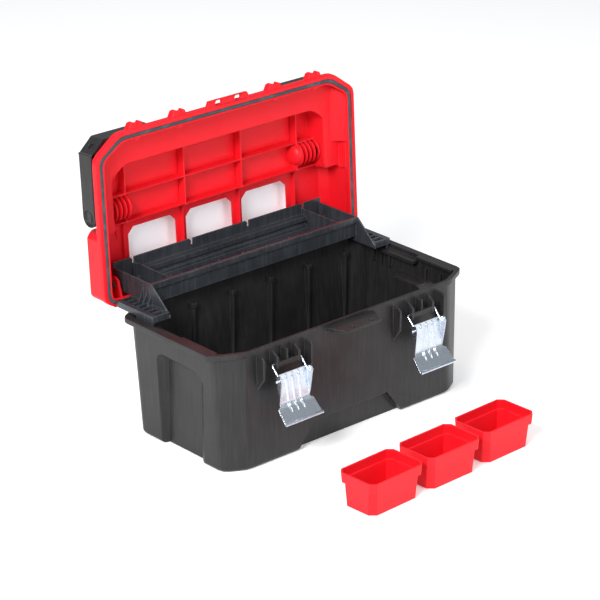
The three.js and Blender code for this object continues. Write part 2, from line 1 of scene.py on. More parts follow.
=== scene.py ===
"""Tool box with a hinged lid, a tray that swings up with it, draw latches and three loose bins.

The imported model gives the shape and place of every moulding. The shells keep that shape and get
rounded edges here, and the pressed, bent and rolled metal, the seal, the pivot caps and the small
moulded details are made here. Metres, +X along the box, -Y to the front, +Z up.
"""

import json
import logging
import math
from dataclasses import dataclass
from enum import Enum
from typing import Callable, Iterable, Sequence

import bmesh
import bpy
from mathutils import Matrix, Vector


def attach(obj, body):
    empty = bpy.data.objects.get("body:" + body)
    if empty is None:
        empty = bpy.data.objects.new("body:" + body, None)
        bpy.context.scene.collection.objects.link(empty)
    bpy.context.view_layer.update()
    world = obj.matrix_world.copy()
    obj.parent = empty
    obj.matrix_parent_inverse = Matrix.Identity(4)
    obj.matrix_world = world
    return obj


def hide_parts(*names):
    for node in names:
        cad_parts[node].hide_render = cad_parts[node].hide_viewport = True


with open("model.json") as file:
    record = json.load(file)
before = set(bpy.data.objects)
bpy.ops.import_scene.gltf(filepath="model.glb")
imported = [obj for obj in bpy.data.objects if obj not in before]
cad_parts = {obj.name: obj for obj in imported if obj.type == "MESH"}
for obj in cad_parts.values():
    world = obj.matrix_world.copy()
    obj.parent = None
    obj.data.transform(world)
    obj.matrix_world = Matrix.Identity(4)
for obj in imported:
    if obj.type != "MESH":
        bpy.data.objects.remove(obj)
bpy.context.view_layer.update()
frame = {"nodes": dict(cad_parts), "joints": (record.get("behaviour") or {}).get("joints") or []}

MM = 0.001
LOG = logging.getLogger("toolbox")

Colour = tuple[float, float, float, float]
Outline = list[tuple[float, float]]
Path = list[Vector]


class Side(Enum):
    """The two ends of the box, by the sign of X."""

    LEFT = -1
    RIGHT = 1

    @property
    def word(self) -> str:
        """The word that this side's pieces carry in their names."""
        return self.name.lower()


class Slot(Enum):
    """The record's material slots."""

    BODY = "black_plastic"
    TRAY = "tray_plastic"
    RED = "red_plastic"
    SEAL = "gasket_rubber"
    ZINC = "zinc_plate"
    PIN = "steel_pin"
    CLEAR = "cloudy_clear"


class Axis(Enum):
    """Which way a prism runs, with the turn that takes (u, v, w) to (x, y, z)."""

    X = Matrix(((0, 0, 1, 0), (1, 0, 0, 0), (0, 1, 0, 0), (0, 0, 0, 1)))
    Y = Matrix(((0, 1, 0, 0), (0, 0, 1, 0), (1, 0, 0, 0), (0, 0, 0, 1)))
    Z = Matrix.Identity(4)


def srgb(red: int, green: int, blue: int) -> Colour:
    """Linear colour for a screen colour.

    Args:
        red: 0 to 255.
        green: 0 to 255.
        blue: 0 to 255.

    Returns:
        The colour with full alpha.
    """
    def linear(value: int) -> float:
        """Linear light of one channel."""
        share = value / 255
        return share / 12.92 if share <= 0.04045 else ((share + 0.055) / 1.055) ** 2.4

    return linear(red), linear(green), linear(blue), 1.0


# ---- shader writing ----
class Socket:
    """An output of a shader node, with the operators that shader maths is written in."""

    def __init__(self, shader: "Shader", link: bpy.types.NodeSocket) -> None:
        """Wraps one output of a shader's node."""
        self.shader = shader
        self.link = link

    def maths(self, operation: str, *operands: "Socket | float") -> "Socket":
        """A Math node over the operands."""
        return self.shader.node("ShaderNodeMath", {"operation": operation}, dict(enumerate(operands)))

    def __add__(self, other: "Socket | float") -> "Socket":
        """Sum."""
        return self.maths("ADD", self, other)

    def __radd__(self, other: float) -> "Socket":
        """Sum with a number in front."""
        return self.maths("ADD", other, self)

    def __sub__(self, other: "Socket | float") -> "Socket":
        """Difference."""
        return self.maths("SUBTRACT", self, other)

    def __rsub__(self, other: float) -> "Socket":
        """A number less this value."""
        return self.maths("SUBTRACT", other, self)

    def __mul__(self, other: "Socket | float") -> "Socket":
        """Product."""
        return self.maths("MULTIPLY", self, other)

    def __rmul__(self, other: float) -> "Socket":
        """Product with a number in front."""
        return self.maths("MULTIPLY", other, self)

    def rise(self, low: float, high: float) -> "Socket":
        """A smooth step from 0 at low to 1 at high."""
        settings = {"interpolation_type": "SMOOTHSTEP"}
        return self.shader.node("ShaderNodeMapRange", settings,
                                {"Value": self, "From Min": low, "From Max": high})

    def stretched(self, x: float, y: float, z: float) -> "Socket":
        """This vector scaled along each axis."""
        return self.shader.node("ShaderNodeVectorMath", {"operation": "MULTIPLY"}, {0: self, 1: (x, y, z)})

    def dot(self, other: "Socket") -> "Socket":
        """Dot product of two vectors."""
        return self.shader.node("ShaderNodeVectorMath", {"operation": "DOT_PRODUCT"},
                                {0: self, 1: other}, "Value")


class Shader:
    """One material's node tree. Every node of it is made by the node method."""

    def __init__(self, name: str) -> None:
        """Starts an empty tree for a new material."""
        self.material = bpy.data.materials.new(name)
        self.material.use_nodes = True
        self.tree = self.material.node_tree
        self.tree.nodes.clear()

    def node(self, kind: str, settings: dict | None = None, sockets: dict | None = None,
             output: int | str = 0) -> "Socket | None":
        """Adds a node.

        Args:
            kind: The node's type.
            settings: Its own settings, set before the sockets.
            sockets: Values or links for its inputs, by name or index.
            output: The output that is wanted.

        Returns:
            That output, or None for a node without one.
        """
        made = self.tree.nodes.new(kind)
        for key, value in (settings or {}).items():
            setattr(made, key, value)
        for key, value in (sockets or {}).items():
            if isinstance(value, Socket):
                self.tree.links.new(value.link, made.inputs[key])
            else:
                made.inputs[key].default_value = value
        return Socket(self, made.outputs[output]) if made.outputs else None

    def place(self) -> Socket:
        """Position on the piece, in metres at rest, which stays with the piece as it moves."""
        return self.node("ShaderNodeTexCoord", output="Object")

    def noise(self, place: Socket, size: float, detail: float = 2.0, roughness: float = 0.5) -> Socket:
        """Noise whose blobs are about as wide as size, in metres."""
        values = {"Vector": place, "Scale": 1 / size, "Detail": detail, "Roughness": roughness}
        return self.node("ShaderNodeTexNoise", None, values, "Fac")

    def cells(self, place: Socket, size: float) -> Socket:
        """Distance to the nearest of scattered points that lie about size apart, in cells."""
        return self.node("ShaderNodeTexVoronoi", None, {"Vector": place, "Scale": 1 / size}, "Distance")

    def blend(self, factor: Socket | float, first: Colour | Socket, second: Colour | Socket) -> Socket:
        """Colour between two colours."""
        return self.node("ShaderNodeMix", {"data_type": "RGBA"}, {0: factor, 6: first, 7: second}, 2)

    def bump(self, height: Socket, distance: float, strength: float = 1.0) -> Socket:
        """Normal of a relief that is distance deep, in metres."""
        return self.node("ShaderNodeBump", None,
                         {"Height": height, "Distance": distance, "Strength": strength})

    def edges(self, radius: float) -> Socket:
        """1 on edges and 0 on flats, from how far a rounded normal leans away."""
        rounded = self.node("ShaderNodeBevel", {"samples": 4}, {"Radius": radius})
        true = self.node("ShaderNodeNewGeometry", output="Normal")
        return (1.0 - rounded.dot(true)).rise(0.02, 0.22)

    def surface(self, **sockets: "Socket | Colour | float") -> bpy.types.Material:
        """Ends the tree in one Principled shader.

        Args:
            **sockets: Its inputs, with an underscore for each space in a name.

        Returns:
            The finished material.
        """
        values = {key.replace("_", " "): value for key, value in sockets.items()}
        shade = self.node("ShaderNodeBsdfPrincipled", None, values)
        self.node("ShaderNodeOutputMaterial", None, {"Surface": shade})
        return self.material


# ---- finishes ----
@dataclass(frozen=True)
class MouldedPlastic:
    """Injection-moulded plastic: etched grain, slow flow marks, faint rubs, and paler edges that are partly
    wear and partly a painted highlight.
    """

    name: str
    colour: Colour
    pale_tone_and_highlight: Colour
    roughness: float = 0.46
    grain: float = 0.9 * MM
    relief: float = 0.05 * MM
    flow: float = 60 * MM
    edge: float = 1.3 * MM
    edge_wear_and_highlight_share: float = 0.5
    streak: float = 0.35
    specular: float = 0.5

    def material(self) -> bpy.types.Material:
        """Writes the material."""
        shader = Shader(self.name)
        place = shader.place()
        grain = shader.noise(place, self.grain, 3.0, 0.6)
        flow = shader.noise(place, self.flow, 3.0)
        drawn = shader.noise(place.stretched(1.0, 1.0, 0.07), 4 * MM, 4.0, 0.6)
        rubs = shader.noise(place.stretched(0.12, 1.0, 1.0), 1.6 * MM, 2.0).rise(0.66, 0.78)
        rubs = rubs * flow.rise(0.5, 0.62)
        edges = shader.edges(self.edge) * (0.45 + 0.8 * flow)
        shift = 0.16 * flow + self.streak * 0.3 * drawn.rise(0.42, 0.7) + 0.12 * rubs
        body = shader.blend(shift, self.colour, self.pale_tone_and_highlight)
        # the edges are painted paler, partly as wear and partly as a painted highlight
        colour = shader.blend(edges * self.edge_wear_and_highlight_share, body, self.pale_tone_and_highlight)
        rough = self.roughness + 0.16 * (flow - 0.5) + 0.1 * (grain - 0.5) + 0.09 * rubs - 0.07 * edges
        height = grain * 0.8 + drawn * 0.5 * self.streak
        return shader.surface(Base_Color=colour, Roughness=rough, Normal=shader.bump(height, self.relief),
                              IOR=1.5, Specular_IOR_Level=self.specular)


@dataclass(frozen=True)
class SealRubber:
    """Soft foam rubber: dull, finely pitted, with a dusty bloom."""

    name: str
    colour: Colour
    bloom: Colour
    pore: float = 0.7 * MM

    def material(self) -> bpy.types.Material:
        """Writes the material."""
        shader = Shader(self.name)
        place = shader.place()
        pores = shader.cells(place, self.pore)
        dust = shader.noise(place, 18 * MM, 3.0).rise(0.42, 0.7)
        colour = shader.blend(0.35 * dust + 0.2 * pores, self.colour, self.bloom)
        return shader.surface(Base_Color=colour, Roughness=0.7 + 0.15 * dust,
                              Normal=shader.bump(pores, 0.12 * MM), IOR=1.45)


@dataclass(frozen=True)
class ZincPlate:
    """Bright zinc on pressed steel: bluish white, with fine lines from the rolled sheet and a painted
    highlight along its edges.
    """

    name: str
    colour: Colour
    cloud: Colour
    roughness: float = 0.27

    def material(self) -> bpy.types.Material:
        """Writes the material."""
        shader = Shader(self.name)
        place = shader.place()
        cloud = shader.noise(place, 11 * MM, 4.0, 0.6)
        lines = shader.noise(place.stretched(0.06, 1.0, 1.0), 0.5 * MM, 3.0)
        edges = shader.edges(0.8 * MM)
        colour = shader.blend(cloud.rise(0.35, 0.7) * 0.3, self.colour, self.cloud)
        # the edges are painted near white as a highlight
        colour = shader.blend(edges * 0.5, colour, srgb(250, 251, 254))
        rough = self.roughness + 0.08 * (cloud - 0.5) + 0.08 * (lines - 0.5)
        return shader.surface(Base_Color=colour, Metallic=1.0, Roughness=rough,
                              Normal=shader.bump(lines + cloud * 0.4, 0.02 * MM))


@dataclass(frozen=True)
class DrawnSteel:
    """Bare drawn rod: grey, with rings from turning and a little dark bloom."""

    name: str
    colour: Colour
    bloom: Colour

    def material(self) -> bpy.types.Material:
        """Writes the material."""
        shader = Shader(self.name)
        place = shader.place()
        rings = shader.noise(place.stretched(1.0, 0.05, 0.05), 0.4 * MM, 2.0)
        bloom = shader.noise(place, 5 * MM, 4.0).rise(0.5, 0.68)
        colour = shader.blend(bloom * 0.6, self.colour, self.bloom)
        return shader.surface(Base_Color=colour, Metallic=1.0, Roughness=0.3 + 0.2 * bloom + 0.1 * rings,
                              Normal=shader.bump(rings, 0.02 * MM))


@dataclass(frozen=True)
class CloudyPlastic:
    """Frosted clear plastic: milky, with slow thickness waves, a fine matt skin, a painted highlight on its
    edges and a faint painted glow in place of the light that passes through from behind.
    """

    name: str
    colour: Colour
    milk: Colour
    glow: float = 0.12  # painted glow that stands in for the light that it passes on from behind

    def material(self) -> bpy.types.Material:
        """Writes the material."""
        shader = Shader(self.name)
        place = shader.place()
        waves = shader.noise(place, 45 * MM, 2.0)
        frost = shader.noise(place, 0.8 * MM, 3.0)
        edges = shader.edges(1.2 * MM)
        # the waves give the plastic's own milkiness; the edges are painted milkier as a highlight
        colour = shader.blend(waves * 0.5 + edges * 0.5, self.colour, self.milk)
        # the emission is a painted glow that stands in for light passed on from behind
        return shader.surface(Base_Color=colour, Roughness=0.3 + 0.12 * frost + 0.1 * waves,
                              Normal=shader.bump(frost * 0.7 + waves * 0.6, 0.04 * MM),
                              Transmission_Weight=0.12, IOR=1.46,
                              Emission_Color=self.milk, Emission_Strength=self.glow)


@dataclass(frozen=True)
class StudioPaper:
    """Matt white sweep that the box stands on."""

    name: str = "studio_paper"
    glow: float = 0.22  # the light that comes through the sweep from behind

    def material(self) -> bpy.types.Material:
        """Writes the material."""
        shader = Shader(self.name)
        tooth = shader.noise(shader.place(), 3 * MM, 3.0)
        colour = shader.blend(tooth, srgb(250, 250, 250), srgb(254, 254, 254))
        return shader.surface(Base_Color=colour, Roughness=0.9 + 0.05 * tooth,
                              Emission_Color=srgb(255, 255, 255), Emission_Strength=self.glow)


# edge_wear_and_highlight_share: how far the edges are painted pale, as wear and as a painted highlight
FINISHES = {
    Slot.BODY: MouldedPlastic("black_moulded", srgb(17, 17, 17), srgb(104, 103, 106), 0.38, edge_wear_and_highlight_share=0.55,
                              streak=0.2, specular=0.34),
    Slot.TRAY: MouldedPlastic("tray_moulded", srgb(24, 26, 29), srgb(132, 138, 148), 0.3, edge_wear_and_highlight_share=0.6,
                              streak=0.3),
    Slot.RED: MouldedPlastic("red_moulded", srgb(224, 16, 30), srgb(244, 70, 80), 0.4, edge_wear_and_highlight_share=0.6,
                             streak=0.1, specular=0.2),
    Slot.SEAL: SealRubber("seal_foam", srgb(36, 58, 64), srgb(96, 118, 124)),
    Slot.ZINC: ZincPlate("zinc_bright", srgb(218, 226, 236), srgb(182, 194, 208)),
    Slot.PIN: DrawnSteel("pin_steel", srgb(176, 178, 180), srgb(110, 108, 106)),
    Slot.CLEAR: CloudyPlastic("frosted_clear", srgb(244, 244, 248), srgb(252, 252, 254)),
}
MATERIALS = {slot: finish.material() for slot, finish in FINISHES.items()}


# ---- mesh work ----
def mix(low: float, high: float, share: float) -> float:
    """The number that lies at a share of the way from low to high."""
    return low + (high - low) * share


def table(stops: Sequence[tuple[float, float]], at: float) -> float:
    """Straight-line look-up in stops that rise along their first number."""
    for (x0, y0), (x1, y1) in zip(stops, stops[1:]):
        if at <= x1:
            return mix(y0, y1, min(max((at - x0) / (x1 - x0), 0.0), 1.0))
    return stops[-1][1]


def softened(points: Path, reach: float, steps: int) -> Path:
    """A path with each corner turned into a short curve.

    Args:
        points: The corners.
        reach: How far from the corner the curve starts.
        steps: Straight pieces in a curve.

    Returns:
        The points of the softened path.
    """
    made = [points[0].copy()]
    for before, corner, after in zip(points, points[1:], points[2:]):
        start = corner.lerp(before, min(reach / (before - corner).length, 0.45))
        end = corner.lerp(after, min(reach / (after - corner).length, 0.45))
        for step in range(steps + 1):
            t = step / steps
            made.append(start.lerp(corner, t).lerp(corner.lerp(end, t), t))
    return made + [points[-1].copy()]


@dataclass(frozen=True)
class Rounding:
    """How the sharp edges of a piece are rounded."""

    radius: float = 0.8 * MM
    segments: int = 2
    sharp: float = 30.0  # degrees between two faces from which their edge counts as sharp


class Moulding:
    """A mesh under construction, with the ways of adding to it."""

    def __init__(self, node: str | None = None) -> None:
        """Starts empty, or from a tidied copy of a CAD node's surface."""
        self.bm = bmesh.new()
        self.node = node
        if node:
            self.bm.from_mesh(frame["nodes"][node].data)
            bmesh.ops.remove_doubles(self.bm, verts=self.bm.verts, dist=0.01 * MM)
            bmesh.ops.dissolve_degenerate(self.bm, edges=self.bm.edges, dist=0.01 * MM)

    def loft(self, rings: Sequence[Sequence[Vector]]) -> "Moulding":
        """Adds a skin through rings with the same number of points, capped at both ends."""
        rows = [[self.bm.verts.new(p) for p in ring] for ring in rings]
        for low, high in zip(rows, rows[1:]):
            for i in range(len(low)):
                j = (i + 1) % len(low)
                self.bm.faces.new((low[i], low[j], high[j], high[i]))
        self.bm.faces.new(list(reversed(rows[0])))
        self.bm.faces.new(rows[-1])
        return self

    def prism(self, axis: Axis, outline: Outline, low: float, high: float) -> "Moulding":
        """Adds a straight prism of an outline between two places on an axis."""
        turn = axis.value
        return self.loft([[turn @ Vector((u, v, w)) for u, v in outline] for w in (low, high)])

    def block(self, low: Sequence[float], high: Sequence[float]) -> "Moulding":
        """Adds a box between two corners."""
        (x0, y0, z0), (x1, y1, z1) = low, high
        return self.prism(Axis.Z, [(x0, y0), (x1, y0), (x1, y1), (x0, y1)], z0, z1)

    def turned(self, axis: Axis, centre: tuple[float, float], profile: Outline,
               sides: int = 32) -> "Moulding":
        """Adds a turned shape.

        Args:
            axis: The axis it is turned about.
            centre: Where the axis passes, in the order that the axis gives.
            profile: Radius and place along the axis, from one end to the other.
            sides: Flats round the shape.

        Returns:
            This moulding.
        """
        rings = []
        for radius, along in profile:
            angles = [math.tau * i / sides for i in range(sides)]
            ring = [(centre[0] + radius * math.cos(a), centre[1] + radius * math.sin(a), along)
                    for a in angles]
            rings.append([axis.value @ Vector(p) for p in ring])
        return self.loft(rings)

    def dome(self, axis: Axis, centre: tuple[float, float], base: float, radius: float, height: float,
             sides: int = 20) -> "Moulding":
        """Adds a low rounded button that rises along an axis from its base."""
        steps = 5
        turns = [math.pi / 2 * i / steps for i in range(steps)]
        sink = math.copysign(min(abs(height), 0.4 * MM), height)
        profile = [(radius, base - sink)]
        profile += [(radius * math.cos(a), base + height * math.sin(a)) for a in turns]
        profile.append((radius * 0.12, base + height))
        return self.turned(axis, centre, profile, sides)

    def tube(self, path: Path, radius: float, sides: int = 12) -> "Moulding":
        """Adds a round wire along a path."""
        up = Vector((0.123, 0.456, 0.877)).normalized()
        rings = []
        for i, point in enumerate(path):
            before = path[max(i - 1, 0)]
            after = path[min(i + 1, len(path) - 1)]
            along = (after - before).normalized()
            first = (up - along * up.dot(along)).normalized()
            up = first
            second = along.cross(first)
            angles = [math.tau * k / sides for k in range(sides)]
            rings.append([point + (first * math.cos(a) + second * math.sin(a)) * radius for a in angles])
        return self.loft(rings)

    def sheet(self, rows: Sequence[Sequence[Vector]], thickness: float) -> "Moulding":
        """Adds a bent sheet of metal through rows of points, thickened to one side."""
        grid = [[self.bm.verts.new(p) for p in row] for row in rows]
        faces = []
        for low, high in zip(grid, grid[1:]):
            for i in range(len(low) - 1):
                faces.append(self.bm.faces.new((low[i], low[i + 1], high[i + 1], high[i])))
        bmesh.ops.remove_doubles(self.bm, verts=[v for row in grid for v in row], dist=0.02 * MM)
        faces = [f for f in faces if f.is_valid]
        bmesh.ops.recalc_face_normals(self.bm, faces=faces)
        bmesh.ops.solidify(self.bm, geom=faces, thickness=thickness)
        return self

    def fillet(self, chosen: Callable[[Vector], bool], radius: float, segments: int) -> "Moulding":
        """Rounds the sharp edges whose two ends are both chosen."""
        edges = [e for e in self.bm.edges
                 if len(e.link_faces) == 2 and e.calc_face_angle() > math.radians(30)
                 and all(chosen(v.co) for v in e.verts)]
        LOG.info("%s: %d edges filleted", self.node, len(edges))
        bmesh.ops.bevel(self.bm, geom=edges, offset=radius, segments=segments, profile=0.5, affect="EDGES",
                        clamp_overlap=False)
        return self

    def moved(self, matrix: Matrix) -> "Moulding":
        """Puts everything made so far into another place."""
        bmesh.ops.transform(self.bm, matrix=matrix, verts=self.bm.verts)
        return self

    def below(self, point: Sequence[float], normal: Sequence[float]) -> "Moulding":
        """Keeps what lies behind a plane, and closes the cut."""
        geometry = list(self.bm.verts) + list(self.bm.edges) + list(self.bm.faces)
        cut = bmesh.ops.bisect_plane(self.bm, geom=geometry, plane_co=point, plane_no=normal,
                                     clear_outer=True)
        edges = [e for e in cut["geom_cut"] if isinstance(e, bmesh.types.BMEdge)]
        bmesh.ops.holes_fill(self.bm, edges=edges)
        return self

    def piece(self, name: str, body: str, slot: Slot, rounding: Rounding | None = Rounding(),
              stands_for: Iterable[str] = ()) -> bpy.types.Object:
        """Turns the moulding into a finished piece of the box.

        Args:
            name: The piece's name.
            body: The CAD body that it moves with.
            slot: The record's slot, which also picks the finish.
            rounding: How its sharp edges are rounded, if they are.
            stands_for: CAD nodes that it replaces, besides the one that it was copied from.

        Returns:
            The new object.
        """
        if not self.node:
            bmesh.ops.recalc_face_normals(self.bm, faces=self.bm.faces)
        mesh = bpy.data.meshes.new(name)
        self.bm.to_mesh(mesh)
        self.bm.free()
        made = bpy.data.objects.new(name, mesh)
        bpy.context.scene.collection.objects.link(made)
        soften(made, rounding)
        mesh.materials.append(MATERIALS[slot])
        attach(made, body)
        replaced = ([self.node] if self.node else []) + list(stands_for)
        if replaced:
            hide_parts(*replaced)
        LOG.info("%s: %d faces on body %s, for %s", name, len(mesh.polygons), body, replaced or "nothing")
        return made


def soften(piece: bpy.types.Object, rounding: Rounding | None) -> None:
    """Shades a piece smooth, with its sharp edges rounded and its flats kept flat."""
    mesh = piece.data
    mesh.polygons.foreach_set("use_smooth", [True] * len(mesh.polygons))
    if rounding:
        bevel = piece.modifiers.new("rounded_edges", "BEVEL")
        bevel.width = rounding.radius
        bevel.segments = rounding.segments
        bevel.limit_method = "ANGLE"
        bevel.angle_limit = math.radians(rounding.sharp)
        bevel.use_clamp_overlap = False
        bevel.miter_outer = "MITER_ARC"
    flats = piece.modifiers.new("flat_faces", "WEIGHTED_NORMAL")
    flats.weight = 80
    flats.keep_sharp = False


def carry_over(node: str, slot: Slot) -> None:
    """Dresses a CAD node that is shown as it is."""
    shown = frame["nodes"][node]
    shown.data.materials.clear()
    shown.data.materials.append(MATERIALS[slot])
    weld = shown.modifiers.new("joined_faces", "WELD")
    weld.merge_threshold = 0.01 * MM
    flats = shown.modifiers.new("merged_flats", "DECIMATE")
    flats.decimate_type = "DISSOLVE"
    flats.angle_limit = math.radians(1.0)
    soften(shown, Rounding(0.35 * MM, 2, 40.0))
    LOG.info("%s: carried over with %s", node, slot.value)


# ---- the lid's own frame ----
LID_HINGE = next(joint for joint in frame["joints"] if joint["name"] == "lid_hinge")
LID_ANGLE = math.radians(max(LID_HINGE["range_deg"]))  # how far the lid stands open
LID = Matrix.Translation(LID_HINGE["pos_m"]) @ Matrix.Rotation(-LID_ANGLE, 4, "X")


# ---- sub-assemblies ----
@dataclass
class Body:
    """The open body with its wall ribs, its rim and the leaves of its hinges."""

    edge: float = 0.9 * MM
    rib_x: tuple[float, ...] = (-0.195, -0.117, -0.039, 0.039, 0.117, 0.195)
    rib_top: float = 0.168
    wall_y: float = 0.1095
    cap: float = 4.2 * MM

    def build(self) -> None:
        """Builds and dresses the body."""
        Moulding("body_shell").piece("body_moulding", "box", Slot.BODY, Rounding(self.edge))
        self.rib_caps().piece("wall_rib_caps", "box", Slot.BODY, Rounding(0.6 * MM))
        for side in Side:
            carry_over(f"lid_hinge_pin_{side.word}", Slot.PIN)

    def rib_caps(self) -> Moulding:
        """Small blocks that close the tops of the ribs on the back wall."""
        caps = Moulding()
        for x in self.rib_x:
            low = (x - self.cap, self.wall_y - 12 * MM, self.rib_top - 5 * MM)
            caps.block(low, (x + self.cap, self.wall_y, self.rib_top + 2 * MM))
        return caps


@dataclass
class Lid:
    """The red lid with its seal, its panels, its pivot bosses and the stubs that hold the tray."""

    edge: float = 1.0 * MM
    inner_top: float = 67.1 * MM  # inner face of the lid's top, above the hinge axis
    rib_x: tuple[float, ...] = (-0.172, -0.057, 0.057, 0.172)
    rib_y: tuple[float, ...] = (-0.1568, -0.11225)
    rib_edge: float = 51.3 * MM
    front_y: float = -0.2128
    boss: tuple[float, float, float] = (0.1720, -0.137, 56.3 * MM)
    boss_radius: float = 17.5 * MM
    bump_x: tuple[float, ...] = (-0.177, -0.095, 0.095, 0.177)
    # Corners of the space that holds the edge between an end wall and the rim.
    shoulder: tuple[tuple[float, float, float], ...] = (
        (0.2080, -0.222, 27.5 * MM), (0.2135, -0.100, 30.5 * MM))
    tab_y: tuple[float, float] = (-0.2552, -0.2520)
    shoulder_radius: float = 4.0 * MM

    def build(self) -> None:
        """Builds and dresses the lid."""
        self.shell().piece("lid_moulding", "lid", Slot.RED, Rounding(self.edge))
        Moulding("lid_gasket").piece("lid_seal", "lid", Slot.SEAL, Rounding(1.05 * MM, 3))
        self.panels().moved(LID).piece("lid_panel_pads", "lid", Slot.RED, Rounding(0.7 * MM, 3))
        self.crossings().moved(LID).piece("lid_rib_pips", "lid", Slot.RED, None)
        self.bosses().moved(LID).piece("lid_pivot_bosses", "lid", Slot.RED, None)
        self.seal_tabs().moved(LID).piece("lid_seal_tabs", "lid", Slot.RED, Rounding(0.4 * MM))
        for side in Side:
            carry_over(f"tray_pin_{side.word}", Slot.TRAY)

    def panels(self) -> Moulding:
        """Low raised fields on the inside of the top, one in each cell between the ribs."""
        pads = Moulding()
        rib = 1.2 * MM
        fields = [(self.front_y + 9 * MM, self.rib_y[0] - rib), (self.rib_y[0] + rib, self.rib_y[1] - rib)]
        for x0, x1 in zip(self.rib_x, self.rib_x[1:]):
            for y0, y1 in fields:
                pads.block((x0 + 6 * MM, y0, self.inner_top - 1.4 * MM),
                           (x1 - 2 * MM, y1, self.inner_top + MM))
        return pads

    def crossings(self) -> Moulding:
        """Round pips where the ribs cross, left by the pins that push the lid out of its mould."""
        pips = Moulding()
        for x in self.rib_x:
            for y in self.rib_y:
                pips.dome(Axis.Z, (x, y), self.rib_edge, 1.9 * MM, -0.7 * MM, 14)
            pips.dome(Axis.Z, (x, self.rib_y[0] - 0.035), self.rib_edge, 1.5 * MM, -0.5 * MM, 12)
        return pips

    def bosses(self) -> Moulding:
        """Smooth half domes that close the inner end of each stack of fins."""
        bosses = Moulding()
        x, y, z = self.boss
        for side in Side:
            profile = []
            for i in range(9):
                turn = math.pi / 2 * i / 8
                radius = max(self.boss_radius * math.cos(turn), 0.6 * MM)
                profile.append((radius, side.value * (x - 11 * MM * math.sin(turn))))
            profile.insert(0, (self.boss_radius, side.value * (x + 3 * MM)))
            bosses.turned(Axis.X, (y, z), profile, 36)
        return bosses.below((0, 0, self.inner_top + 1.5 * MM), (0, 0, 1))

    def shell(self) -> Moulding:
        """The moulded shell, with wide rounds where the pan's end walls turn out to the rim."""
        shell = Moulding("lid_shell")
        low, high = self.shoulder

        def on_shoulder(point: Vector) -> bool:
            """Whether a point lies on the turn of an end wall."""
            x, y, z = LID.inverted() @ point
            return low[0] < abs(x) < high[0] and low[1] < y < high[1] and low[2] < z < high[2]

        return shell.fillet(on_shoulder, self.shoulder_radius, 5)

    def seal_tabs(self) -> Moulding:
        """Small tabs inside the seal that locate it along the front."""
        tabs = Moulding()
        front, back = self.tab_y
        for x in self.bump_x:
            outline = [(x - 5 * MM, front), (x + 5 * MM, front), (x + 2 * MM, back), (x - 3 * MM, back)]
            tabs.prism(Axis.Z, outline, 6.8 * MM, 12 * MM)
        return tabs


@dataclass
class CarryHandle:
    """The folding handle and the round caps that it turns on."""

    edge: float = 1.6 * MM
    pivot: tuple[float, float] = (-0.137, 48.3 * MM)
    face: float = 0.2405
    cap_radius: float = 11.3 * MM

    def build(self) -> None:
        """Builds and dresses the handle."""
        Moulding("carry_handle").piece("handle_moulding", "handle", Slot.BODY, Rounding(self.edge, 3))
        for side in Side:
            node = f"handle_pivot_{side.word}"
            cap = self.cap(side).moved(LID)
            cap.piece(f"handle_cap_{side.word}", "lid", Slot.BODY, Rounding(0.35 * MM), [node])

    def cap(self, side: Side) -> Moulding:
        """Pivot stub with a dished head, and an oblong insert across it."""
        out = side.value
        radius = self.cap_radius
        profile = [(7 * MM, 0.208), (7 * MM, self.face), (radius, self.face), (radius, self.face + 3.2 * MM),
                   (radius - 1.4 * MM, self.face + 3.2 * MM), (radius - 2.0 * MM, self.face + 1.9 * MM),
                   (MM, self.face + 1.9 * MM)]
        cap = Moulding().turned(Axis.X, self.pivot, [(r, out * x) for r, x in profile], 40)
        y, z = self.pivot
        low, high = sorted((out * (self.face + MM), out * (self.face + 3.6 * MM)))
        half, end = 3.6 * MM, 4.6 * MM
        arcs = [(y + direction * end + half * math.cos(a), z + half * math.sin(a))
                for direction, start in ((1, -math.pi / 2), (-1, math.pi / 2))
                for a in (start + math.pi * i / 8 for i in range(9))]
        cap.prism(Axis.X, arcs, low, high)
        for shift in (-1.5 * MM, 1.5 * MM):
            top = sorted((out * (self.face + 3 * MM), out * (self.face + 4.1 * MM)))
            cap.prism(Axis.X, [(y - end, z + shift - 0.6 * MM), (y + end, z + shift - 0.6 * MM),
                               (y + end, z + shift + 0.6 * MM), (y - end, z + shift + 0.6 * MM)], *top)
        return cap


@dataclass
class Cover:
    """The frosted cover over the lid's top compartments, with its hinges and clips."""

    edge: float = 1.0 * MM

    def build(self) -> None:
        """Builds and dresses the cover."""
        Moulding("organiser_cover").piece("cover_moulding", "cover", Slot.CLEAR, Rounding(self.edge))
        for side in Side:
            Moulding(f"cover_latch_{side.word}").piece(
                f"cover_clip_{side.word}", f"cover_latch_{side.word}", Slot.RED, Rounding(0.4 * MM))
            carry_over(f"cover_hinge_pin_{side.word}", Slot.PIN)


@dataclass
class Tray:
    """The tray that swings up with the lid."""

    edge: float = 0.5 * MM
    floor: float = 0.2005
    pip_x: tuple[float, ...] = (-0.120, -0.072, -0.024, 0.024, 0.072, 0.120)

    def build(self) -> None:
        """Builds and dresses the tray."""
        Moulding("tray").piece("tray_moulding", "tray", Slot.TRAY, Rounding(self.edge))
        self.pips().piece("tray_floor_pips", "tray", Slot.TRAY, None)

    def pips(self) -> Moulding:
        """Buttons along the floor of the long compartment."""
        pips = Moulding()
        for x in self.pip_x:
            pips.dome(Axis.Z, (x, 0.150), self.floor, 1.8 * MM, 1.2 * MM, 14)
        return pips


